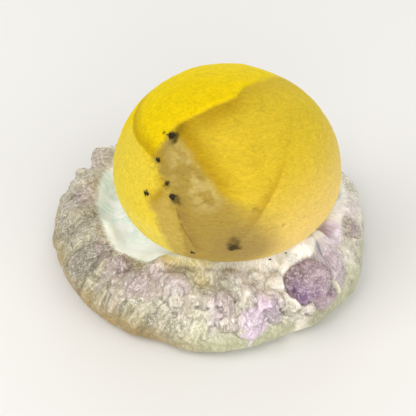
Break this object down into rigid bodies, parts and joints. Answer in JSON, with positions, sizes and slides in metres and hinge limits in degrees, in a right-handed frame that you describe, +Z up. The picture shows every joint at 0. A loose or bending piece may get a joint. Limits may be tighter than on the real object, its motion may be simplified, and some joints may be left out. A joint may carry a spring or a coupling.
{
  "type": "fluorite on amethyst specimen",
  "caption": "Small mineral specimen: a translucent ball of yellow fluorite grown on a low, rounded cluster of pale lilac amethyst crystals with a flat underside.",
  "frame": {"origin": "middle of the flat underside of the cluster, on the surface that it rests on", "axes": "+Z up, +X to the right and the longest way across, -Y towards the front, where the crystals reach up to the ball"},
  "size_m": [0.0521, 0.047, 0.0351],
  "materials": {
    "yellow_fluorite": "satin",
    "pale_amethyst": "gloss"
  },
  "bodies": {
    "root": {"fluorite_ball": "yellow_fluorite", "amethyst_cluster": "pale_amethyst"}
  },
  "joints": []
}
